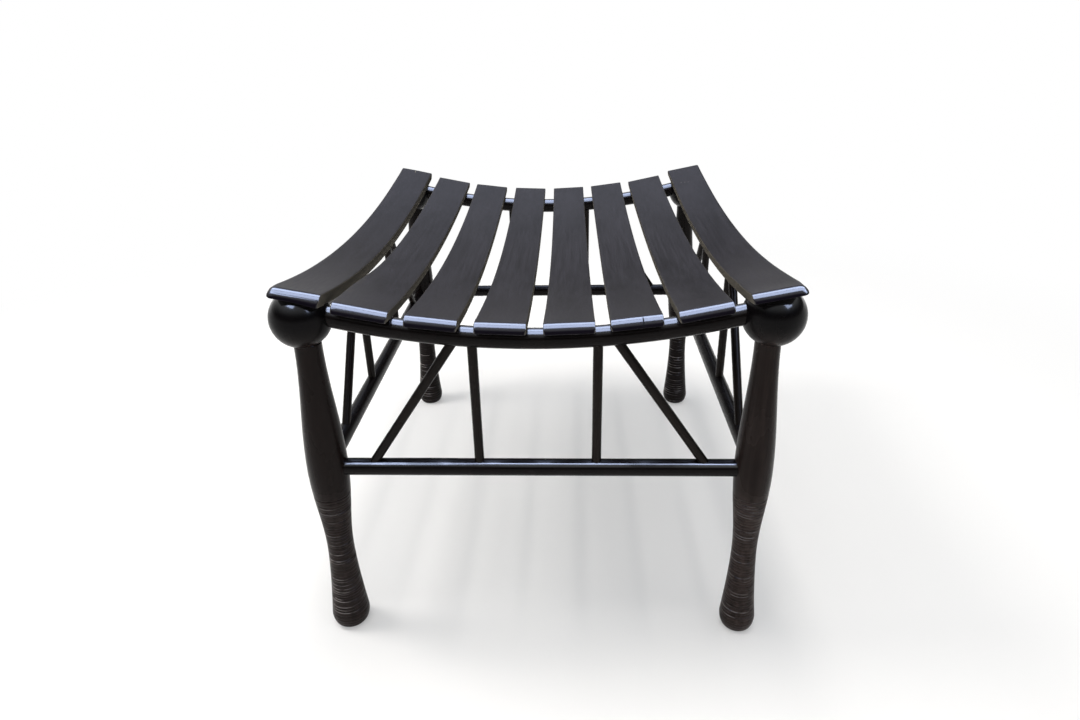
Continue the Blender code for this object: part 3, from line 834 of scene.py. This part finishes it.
class Side:
    """One side of the frame, with X along it from the first of its ends to the second."""

    def __init__(self, name, ends, turn, offset, span):
        self.name = name
        self.ends = ends
        self.frame = Matrix.Rotation(turn, 4, "Z") @ Matrix.Translation((0, offset, 0))
        self.half_span = span / 2
        self.is_cross = turn == 0

    def point(self, along, height):
        """A point on this side's upright plane, in the stool's frame."""
        return self.frame @ Vector((along, 0, height))

    def rail(self, scene):
        """Radius of the bend of this side's seat rail, and the height of its lowest point."""
        legs, bars, slats = scene.stool_legs, scene.stool_bars, scene.stool_slats
        bed = bed_height(legs)
        if self.is_cross:
            return arc_radius(SPACING_X, bars.rail_dip), bed - bars.rail_drop - bars.rail_dip
        dip = slats.outer_dip / cos(slats.outer_tilt)
        drop = (bars.rail_radius + bars.side_rail_space) / cos(slats.outer_tilt)
        return arc_radius(SPACING_Y, dip) + drop, bed - dip - drop

    def rail_height(self, scene, along):
        """Height of the seat rail's axis at a distance from its middle."""
        bend_radius, low = self.rail(scene)
        return low + bend_radius - sqrt(bend_radius ** 2 - along ** 2)


SIDES = (
    Side("front", ("left", "right"), 0, -SPACING_Y / 2, SPACING_X),
    Side("back", ("left", "right"), 0, SPACING_Y / 2, SPACING_X),
    Side("left", ("front", "back"), pi / 2, SPACING_X / 2, SPACING_Y),
    Side("right", ("front", "back"), pi / 2, -SPACING_X / 2, SPACING_Y),
)


class Slat:
    """A slat's bend and place. Its own frame has X across, Y along and Z up from its low point."""

    def __init__(self, scene, number):
        legs, bars, slats = scene.stool_legs, scene.stool_bars, scene.stool_slats
        self.number = number
        self.hand = HAND_SET[number - 1]
        self.outer = number in (1, SLAT_COUNT)
        self.dip = slats.outer_dip if self.outer else slats.dip
        self.radius = arc_radius(SPACING_Y, self.dip)
        self.half = self.radius * asin(SPACING_Y / 2 / self.radius) + slats.overhang
        bend_radius, low = SIDES[0].rail(scene)
        top_radius = bend_radius - bars.rail_radius
        outer_angle = asin((SPACING_X / 2 - slats.outer_inset) / top_radius)
        pitch = 2 * (outer_angle + slats.gap_trim / top_radius) / (SLAT_COUNT - 1)
        if self.outer:
            hand = -1 if number == 1 else 1
            middle = (hand * (SPACING_X / 2 - slats.outer_inset), 0,
                      bed_height(legs) - slats.outer_inset * tan(slats.outer_tilt))
            tilt = Matrix.Rotation(-hand * slats.outer_tilt, 4, "Y")
            lift = Matrix.Translation((0, 0, slats.bed_gap - self.dip))
            self.frame = Matrix.Translation(middle) @ tilt @ lift
        else:
            angle = pitch * (number - (SLAT_COUNT + 1) / 2)
            sunk = top_radius - slats.bed_gap + slats.saddle_depth + self.dip
            self.frame = (Matrix.Translation((0, 0, low + bend_radius)) @ Matrix.Rotation(-angle, 4, "Y")
                          @ Matrix.Translation((0, 0, -sunk)))

    def point(self, across, along, height):
        """A point of the bent slat in its own frame."""
        angle = along / self.radius
        reach = self.radius - height
        return (across, reach * sin(angle), self.radius - reach * cos(angle))

    def placement(self):
        """The slat's frame with the small turn and shift that it was set with by hand."""
        front, back = (MM * part for part in self.hand.shift)
        turn = atan2(front - back, SPACING_Y)
        return self.frame @ Matrix.Translation(((front + back) / 2, 0, 0)) @ Matrix.Rotation(turn, 4, "Z")


def lost(radius, inward):
    """How far a rounded corner of this radius lies back from the square one, this far in from the end."""
    part = max(0, 1 - inward / radius)
    return radius * (1 - sqrt(1 - part ** 2))


class Station:
    """A cut across a slat: where it is, its top and bottom, and how far in its left and right sides are."""

    def __init__(self, along, top, bottom=0, left_loss=0, right_loss=0):
        self.along = along
        self.top = top
        self.bottom = bottom
        self.left_loss = left_loss
        self.right_loss = right_loss


def slat_end(slats, thickness, nose, reach, hand, left_corner, right_corner):
    """Stations from the end of a slat to just past the edge where its nose meets the flat top."""
    stations = []
    for turn in spread(pi / 2, slats.nose_slope, NOSE_ROWS):
        inward = nose * (1 - sin(turn))
        top = thickness - nose * (cos(slats.nose_slope) - cos(turn))
        stations.append(Station(hand * (reach - inward), top, lost(slats.toe_radius, inward),
                                lost(left_corner, inward), lost(right_corner, inward)))
    for further in PAST_NOSE:
        inward = nose * (1 - sin(slats.nose_slope)) + further
        stations.append(Station(hand * (reach - inward), thickness, 0,
                                lost(left_corner, inward), lost(right_corner, inward)))
    return stations


def slat_stations(slat, slats, front_end, back_end):
    """Stations of a slat from front to back."""
    chance = Random(SLAT_SEED + slat.number)
    left = slats.outer_corner_radius if slat.number == 1 else slats.corner_radius
    right = slats.outer_corner_radius if slat.number == SLAT_COUNT else slats.corner_radius
    planed = [MM * part for part in slat.hand.planed]
    ends = []
    for reach, hand, loss in ((front_end, -1, planed[0]), (back_end, 1, planed[1])):
        thickness = slats.thickness - loss
        nose = slats.nose_radius * chance.uniform(*NOSE_CHANCE) * thickness / slats.thickness
        ends.append(slat_end(slats, thickness, nose, reach, hand, left, right))
    front, back = ends
    middle = []
    for along in spread(front[-1].along, back[-1].along, SLAT_ROWS)[1:-1]:
        top = slats.thickness
        for end, loss in zip((front[-1], back[-1]), planed):
            top -= loss * (1 - ease(0, 1, min(1, abs(along - end.along) / slats.plane_reach)))
        middle.append(Station(along, top))
    return front + middle + back[::-1]


def slat_section(slat, slats, station):
    """A rounded oblong, as pairs of across and height, anticlockwise from its lower right corner."""
    half = (slats.width + MM * slat.hand.wider) / 2
    left, right = station.left_loss - half, half - station.right_loss
    most = 0.5 * (station.top - station.bottom)
    eased = (min(most, slats.edge_ease), min(most, slats.edge_ease))
    tip = 1 - ease(0, 1, min(1, (slat.half + station.along) / slats.tip_reach))
    outer_width = slats.outer_edge + (slats.tip_width - slats.outer_edge) * tip
    outer_height = slats.outer_edge + (slats.tip_height - slats.outer_edge) * tip
    under = slats.edge_ease + (slats.tip_under - slats.edge_ease) * tip
    outer_top = (outer_width, min(TIP_TOP_MOST * most, outer_height))
    outer_under = (under, min(TIP_UNDER_MOST * most, under))
    right_top, right_under = (outer_top, outer_under) if slat.number == SLAT_COUNT else (eased, eased)
    left_top, left_under = (outer_top, outer_under) if slat.number == 1 else (eased, eased)
    corners = (
        (right - right_under[0], station.bottom + right_under[1], right_under, -pi / 2, SIDE_STEPS),
        (right - right_top[0], station.top - right_top[1], right_top, 0, TOP_STEPS),
        (left + left_top[0], station.top - left_top[1], left_top, pi / 2, SIDE_STEPS),
        (left + left_under[0], station.bottom + left_under[1], left_under, pi, BOTTOM_STEPS),
    )
    section = []
    for number, (middle, level, (wide, high), start, steps) in enumerate(corners):
        arc = [(middle + wide * cos(turn), level + high * sin(turn))
               for turn in spread(start, start + pi / 2, CORNER_STEPS)]
        middle, level, (wide, high), start, _ = corners[(number + 1) % 4]
        away = (middle + wide * cos(start), level + high * sin(start))
        flat = [(arc[-1][0] + (away[0] - arc[-1][0]) * part, arc[-1][1] + (away[1] - arc[-1][1]) * part)
                for part in spread(0, 1, steps)[1:-1]]
        section += arc + flat
    return section


def slat_mesh(name, slat, slats):
    """A bent slat with rounded noses and eased edges, planed by hand."""
    front_trim, back_trim = (MM * part for part in slat.hand.trim)
    seed = Vector([slat.number * step for step in SLATS_APART])
    bm = bmesh.new()
    rows = []
    for station in slat_stations(slat, slats, slat.half - front_trim, slat.half - back_trim):
        inward = slat.half + station.along
        bulge = MM * slat.hand.bulge * exp(-((inward - BULGE_PLACE) / BULGE_SPREAD) ** 2)
        grown = min(1, max(0, (inward - THICK_FROM) / THICK_OVER))
        thicker = MM * slat.hand.thicker * ease(THICK_FRONT, 1, grown)
        row = []
        for across, height in slat_section(slat, slats, station):
            side = 2 * across / slats.width
            spot = [place * step for place, step in zip((across, station.along, height), SLAT_NOISE)]
            stray = noise.noise(Vector(spot) + seed)
            level = height / slats.thickness
            height += slats.unevenness * (stray - 1) * level
            height -= thicker * (1 - level) * max(0, side)
            across += bulge * min(0, side)
            row.append(bm.verts.new(slat.point(across, station.along, height)))
        rows.append(row)
    skin(bm, rows)
    return closed_mesh(bm, name)


class STOOL_OT_legs(bpy.types.Operator):
    """Turn the four legs and cut their rings"""

    bl_idname = "stool.legs"
    bl_label = "Turned legs"

    def execute(self, context):
        scene = context.scene
        legs, slats = scene.stool_legs, scene.stool_slats
        looks = scene.stool_finishes
        finishes = {name: turned_finish(name, looks, legs, faded) for name, faded in FADES.items()}
        for seed, (mount, foot) in enumerate(FEET.items()):
            corner = mount.removeprefix("foot_")
            hand = 1 if foot.x > 0 else -1
            slope = asin(foot.y / arc_radius(SPACING_Y, slats.outer_dip))
            tilt = Matrix.Rotation(-hand * slats.outer_tilt, 3, "Y")
            bed_normal = tilt @ Vector((0, -sin(slope), cos(slope)))
            rings = cut_rings(Random(RING_SEED + seed), legs)
            mesh = leg_mesh(f"turned_leg_{corner}", legs, scene.stool_bars.stretcher_height, rings,
                            bed_normal, GIRTH[corner], hand)
            finish = finishes[LEG_FINISHES[corner]]
            add_piece(mesh.name, mesh, Matrix.Translation(foot), finish, f"leg_{corner}")
        return {"FINISHED"}


class STOOL_OT_seat_rails(bpy.types.Operator):
    """Bend the four seat rails"""

    bl_idname = "stool.seat_rails"
    bl_label = "Seat rails"

    def execute(self, context):
        scene = context.scene
        bars = scene.stool_bars
        looks = scene.stool_finishes
        finish = shaved_finish("seat_rail_lacquer", looks, looks.bar_stain, RAIL_STREAKS,
                               lambda recipe: upper_side(recipe, "Z"))
        for seed, side in enumerate(SIDES):
            bend_radius, low = side.rail(scene)
            reach = side.half_span - bars.rail_radius - bars.end_space
            swell, settle = (bars.rail_swell, bars.rail_settle) if side.is_cross else (0, 0)
            mesh = rail_mesh(f"bent_rail_{side.name}", bend_radius, reach, bars.rail_radius + swell,
                             bars.unevenness, seed)
            placement = side.frame @ Matrix.Translation((0, 0, low - settle))
            add_piece(mesh.name, mesh, placement, finish, f"seat_rail_{side.name}")
        return {"FINISHED"}


class STOOL_OT_stretchers(bpy.types.Operator):
    """Fit the four straight stretchers"""

    bl_idname = "stool.stretchers"
    bl_label = "Stretchers"

    def execute(self, context):
        scene = context.scene
        bars = scene.stool_bars
        looks = scene.stool_finishes
        plain = shaved_finish("stretcher_lacquer", looks, looks.bar_stain, STRETCHER_STREAKS)
        waxed = shaved_finish("stretcher_lacquer_waxed", looks, looks.bar_stain, STRETCHER_STREAKS,
                              lambda recipe: shoulders(recipe, "Y"), looks.wax_ior)
        for seed, side in enumerate(SIDES, start=len(SIDES)):
            reach = side.half_span - bars.stretcher_radius - bars.end_space
            mesh = rod_mesh(f"round_stretcher_{side.name}", 2 * reach, bars.stretcher_radius,
                            bars.unevenness, seed)
            placement = rod_placement(side.point(-reach, bars.stretcher_height),
                                      side.point(reach, bars.stretcher_height))
            finish = waxed if side.name == "front" else plain
            add_piece(mesh.name, mesh, placement, finish, f"stretcher_{side.name}")
        return {"FINISHED"}


class STOOL_OT_struts(bpy.types.Operator):
    """Fit two posts and two slanted braces on each side"""

    bl_idname = "stool.struts"
    bl_label = "Posts and braces"

    def execute(self, context):
        scene = context.scene
        struts = scene.stool_struts
        looks = scene.stool_finishes
        finish = shaved_finish("strut_lacquer", looks, looks.strut_stain, STRUT_STREAKS)
        step = 2 * struts.radius + struts.brace_space
        for side in SIDES:
            offset = struts.front_post if side.is_cross else struts.side_post
            inset = struts.front_inset if side.is_cross else struts.side_inset
            for hand, end in zip((-1, 1), side.ends):
                post = hand * offset
                foot = hand * (side.half_span - inset)
                self.add_strut(scene, finish, side, "post", end, post, post)
                self.add_strut(scene, finish, side, "brace", end, foot, post + hand * step)
        return {"FINISHED"}

    def add_strut(self, scene, finish, side, kind, end, foot, head):
        """One strut from the stretcher to the seat rail, at two distances along a side."""
        struts = scene.stool_struts
        low = side.point(foot, scene.stool_bars.stretcher_height)
        high = side.point(head, side.rail_height(scene, head))
        stop = (high - low).normalized() * struts.end_space
        # Each strut of a side has a seed of its own, from its place there
        seed = STRUT_SEED + foot * 97 + head * 31 + side.half_span * 11
        mesh = rod_mesh(f"thin_{kind}_{side.name}_{end}", (high - low).length - 2 * struts.end_space,
                        struts.radius, scene.stool_bars.unevenness, seed)
        add_piece(mesh.name, mesh, rod_placement(low + stop, high - stop), finish,
                  f"{kind}_{side.name}_{end}")


class STOOL_OT_slats(bpy.types.Operator):
    """Lay the bent slats from left to right"""

    bl_idname = "stool.slats"
    bl_label = "Slats"

    def execute(self, context):
        scene = context.scene
        slats = scene.stool_slats
        looks = scene.stool_finishes
        plain = slat_finish("slat_lacquer", looks, slats)
        first = Slat(scene, 1)
        chip = [(first.point(*CHIP_PLACE, slats.thickness), CHIP_RADIUS, tuple(looks.bare_wood))]
        filler = shade(looks.slat_stain, FILLER_SHADE)
        specks = []
        for across in SPECKS_ACROSS:
            along = SPECK_ALONG - SPECK_SLANT * (across - SPECKS_ACROSS[0])
            specks.append((first.point(across, along, slats.thickness), SPECK_RADIUS, filler))
        special = {1: slat_finish("slat_lacquer_chipped", looks, slats, chip, outer=-1),
                   SPLIT_SLAT: slat_finish("slat_lacquer_split", looks, slats, split=SPLIT_PLACE),
                   SLAT_COUNT: slat_finish("slat_lacquer_filled", looks, slats, specks, outer=1)}
        for number in range(1, SLAT_COUNT + 1):
            slat = Slat(scene, number)
            mesh = slat_mesh(f"bent_slat_{number}", slat, slats)
            finish = special.get(number, plain)
            add_piece(mesh.name, mesh, slat.placement(), finish, f"slat_{number}")
        return {"FINISHED"}


class STOOL_OT_pegs(bpy.types.Operator):
    """Give the hidden pegs their bare wood"""

    bl_idname = "stool.pegs"
    bl_label = "Pegs"

    def execute(self, context):
        finish = peg_finish(context.scene.stool_finishes)
        for name, node in frame["nodes"].items():
            if name.startswith("peg_"):
                node.data.materials.clear()
                node.data.materials.append(finish)
        return {"FINISHED"}


class FlatLight(NamedTuple):
    """A flat light: its name, its place, what it faces, its size and the setting with its brightness."""

    name: str
    place: tuple
    aim: tuple
    size: tuple
    setting: str


# Lamps light the stool, and nothing mirrors them. Panels are only mirrored
LAMPS = (
    FlatLight("strip_light", (-0.05, -0.10, 2.2), (-0.05, 0, 0), (0.32, 1.1), "key_power"),
    FlatLight("fill_light", (-1.2, 0, 1.9), (0, 0, 0.15), (0.6, 0.6), "fill_power"),
)
PANELS = (
    FlatLight("sheen_panel_front", (0, -0.41, 1.75), (0, -0.328, 0.3), (2.4, 0.78), "sheen_power"),
    FlatLight("sheen_panel_top", (0, 0.5325, 1.75), (0, 0.426, 0.3), (2.4, 0.965), "sheen_power"),
    FlatLight("sheen_panel_back", (0, 2.4, 2.1), (0, 1.92, 0.3), (2.4, 1.20), "sky_power"),
    FlatLight("window_panel_left", (-0.66, -0.97, 1.75), (-0.18, -0.2, 0.3), (0.74, 0.34), "sheen_power"),
    FlatLight("window_panel_right", (0.82, -0.72, 1.25), (0, -0.2, 0.3), (0.50, 0.50), "sheen_power"),
)
LAMP_COLOUR, PANEL_COLOUR = (1.0, 0.96, 0.91), (0.58, 0.69, 1.0)
FLOOR_SIDES, FLOOR_RADIUS = 96, 60
# Where the room changes, as parts of a direction to the right, the back and up
WALL_TURN, WALL_DEPTH = (-0.6, 0.2), (-0.3, 0.6)
BACKDROP_TOP, CEILING_RISE = (0.055, 0.090), (0.26, 0.66)
SENSOR_WIDTH = 36
CAMERA_CLIP = (0.01, 500)


class STOOL_OT_stage(bpy.types.Operator):
    """Set the floor, the light and the camera"""

    bl_idname = "stool.stage"
    bl_label = "Stage"

    def execute(self, context):
        settings = context.scene.stool_stage
        self.lay_floor(settings)
        self.light_room(context.scene, settings)
        for lamp in LAMPS:
            light = self.hang(lamp, getattr(settings, lamp.setting), LAMP_COLOUR)
            light.visible_glossy = False
        for panel in PANELS:
            wide, high = panel.size
            light = self.hang(panel, getattr(settings, panel.setting) * pi * wide * high, PANEL_COLOUR)
            light.visible_diffuse = False
        self.place_camera(context.scene, settings)
        context.scene.view_settings.view_transform = "Standard"
        return {"FINISHED"}

    def lay_floor(self, settings):
        """A wide pale floor, which turns to the white of the backdrop far from the stool."""
        bm = bmesh.new()
        bmesh.ops.create_circle(bm, cap_ends=True, segments=FLOOR_SIDES, radius=FLOOR_RADIUS)
        floor = bpy.data.objects.new("studio_floor", closed_mesh(bm, "studio_floor"))
        bpy.context.scene.collection.objects.link(floor)
        material, recipe = new_recipe("pale_floor")
        place = recipe.node("ShaderNodeTexCoord", output="Object")
        away = recipe.vector("DISTANCE", place, (0, 0, 0), "Value")
        seen = seen_by(recipe, "Camera", "Glossy", "Transmission")
        fade = recipe.rise(away, settings.white_from, settings.white_at)
        far = (settings.floor_lift + (1 - settings.floor_lift) * fade) * seen
        matt = recipe.node("ShaderNodeBsdfDiffuse", None, {"Color": (*settings.floor_colour, 1)})
        white = recipe.node("ShaderNodeEmission", None, {"Color": (1, 1, 1, 1), "Strength": 1.0})
        surface = recipe.node("ShaderNodeMixShader", None, {0: far, 1: matt, 2: white})
        recipe.node("ShaderNodeOutputMaterial", None, {"Surface": surface})
        floor.data.materials.append(material)

    def light_room(self, scene, settings):
        """A soft room: a white backdrop low all round, dim walls over it and a pale ceiling.

        The camera sees it white all over, and the lacquer mirrors the dim walls.
        """
        world = bpy.data.worlds.new("soft_room")
        world.use_nodes = True
        scene.world = world
        recipe = Recipe(world.node_tree)
        direction = recipe.node("ShaderNodeTexCoord", output="Generated")
        right, back, up = recipe.axes(direction)
        rightward = recipe.rise(right, *WALL_TURN)
        wall = recipe.blend(rightward, tuple(settings.room_left), tuple(settings.room_right))
        wall = recipe.blend(recipe.rise(back, *WALL_DEPTH), tuple(settings.room_front), wall)
        low = recipe.blend(recipe.rise(up, *BACKDROP_TOP), tuple(settings.room_level), wall)
        light = recipe.blend(recipe.rise(up, *CEILING_RISE), low, tuple(settings.room_top))
        light = recipe.blend(seen_by(recipe, "Camera", "Transmission"), light, (1, 1, 1))
        background = recipe.node("ShaderNodeBackground", None, {"Color": light, "Strength": 1.0})
        recipe.node("ShaderNodeOutputWorld", None, {"Surface": background})

    def hang(self, panel, power, tint):
        """Hang a flat light, which the camera doesn't see."""
        lamp = bpy.data.lights.new(panel.name, "AREA")
        lamp.shape = "RECTANGLE"
        lamp.size, lamp.size_y = panel.size
        lamp.energy = power
        lamp.color = tint
        light = bpy.data.objects.new(panel.name, lamp)
        turn = (Vector(panel.aim) - Vector(panel.place)).to_track_quat("-Z", "Y").to_matrix().to_4x4()
        light.matrix_world = Matrix.Translation(panel.place) @ turn
        light.visible_camera = False
        bpy.context.scene.collection.objects.link(light)
        return light

    def place_camera(self, scene, settings):
        """The camera, where it stood for the photograph."""
        data = bpy.data.cameras.new("camera")
        data.sensor_width = SENSOR_WIDTH
        data.lens = settings.camera_lens
        data.clip_start, data.clip_end = CAMERA_CLIP
        camera = bpy.data.objects.new("camera", data)
        camera.matrix_world = (Matrix.Translation(settings.camera_place)
                               @ Matrix.Rotation(settings.camera_turn, 4, "Z")
                               @ Matrix.Rotation(pi / 2 - settings.camera_pitch, 4, "X")
                               @ Matrix.Rotation(settings.camera_roll, 4, "Z"))
        scene.collection.objects.link(camera)
        scene.camera = camera


OPERATORS = (STOOL_OT_legs, STOOL_OT_seat_rails, STOOL_OT_stretchers, STOOL_OT_struts, STOOL_OT_slats,
             STOOL_OT_pegs, STOOL_OT_stage)
GROUPS = {"stool_legs": LegSizes, "stool_bars": BarSizes, "stool_struts": StrutSizes,
          "stool_slats": SlatSizes, "stool_finishes": StoolFinishes, "stool_stage": StageSettings}


class STOOL_PT_panel(bpy.types.Panel):
    """Sizes and finishes of the stool, and a button for each group of pieces"""

    bl_idname = "STOOL_PT_panel"
    bl_label = "Slatted stool"
    bl_space_type = "VIEW_3D"
    bl_region_type = "UI"
    bl_category = "Stool"

    def draw(self, context):
        layout = self.layout
        for operator in OPERATORS:
            layout.operator(operator.bl_idname)
        for group, kind in GROUPS.items():
            box = layout.box()
            box.label(text=kind.__doc__)
            for name in kind.__annotations__:
                box.prop(getattr(context.scene, group), name)


def register():
    """Register every class and give scenes the stool's settings."""
    for kind in (*GROUPS.values(), *OPERATORS, STOOL_PT_panel):
        bpy.utils.register_class(kind)
    for name, kind in GROUPS.items():
        setattr(bpy.types.Scene, name, bpy.props.PointerProperty(type=kind))


def unregister():
    """Take away the settings and the classes."""
    for name in GROUPS:
        delattr(bpy.types.Scene, name)
    for kind in (STOOL_PT_panel, *reversed(OPERATORS), *reversed(GROUPS.values())):
        bpy.utils.unregister_class(kind)


def main():
    """Build the pieces and the stage."""
    register()
    bpy.ops.stool.legs()
    bpy.ops.stool.seat_rails()
    bpy.ops.stool.stretchers()
    bpy.ops.stool.struts()
    bpy.ops.stool.slats()
    bpy.ops.stool.pegs()
    bpy.ops.stool.stage()


if __name__ == "__main__":
    main()
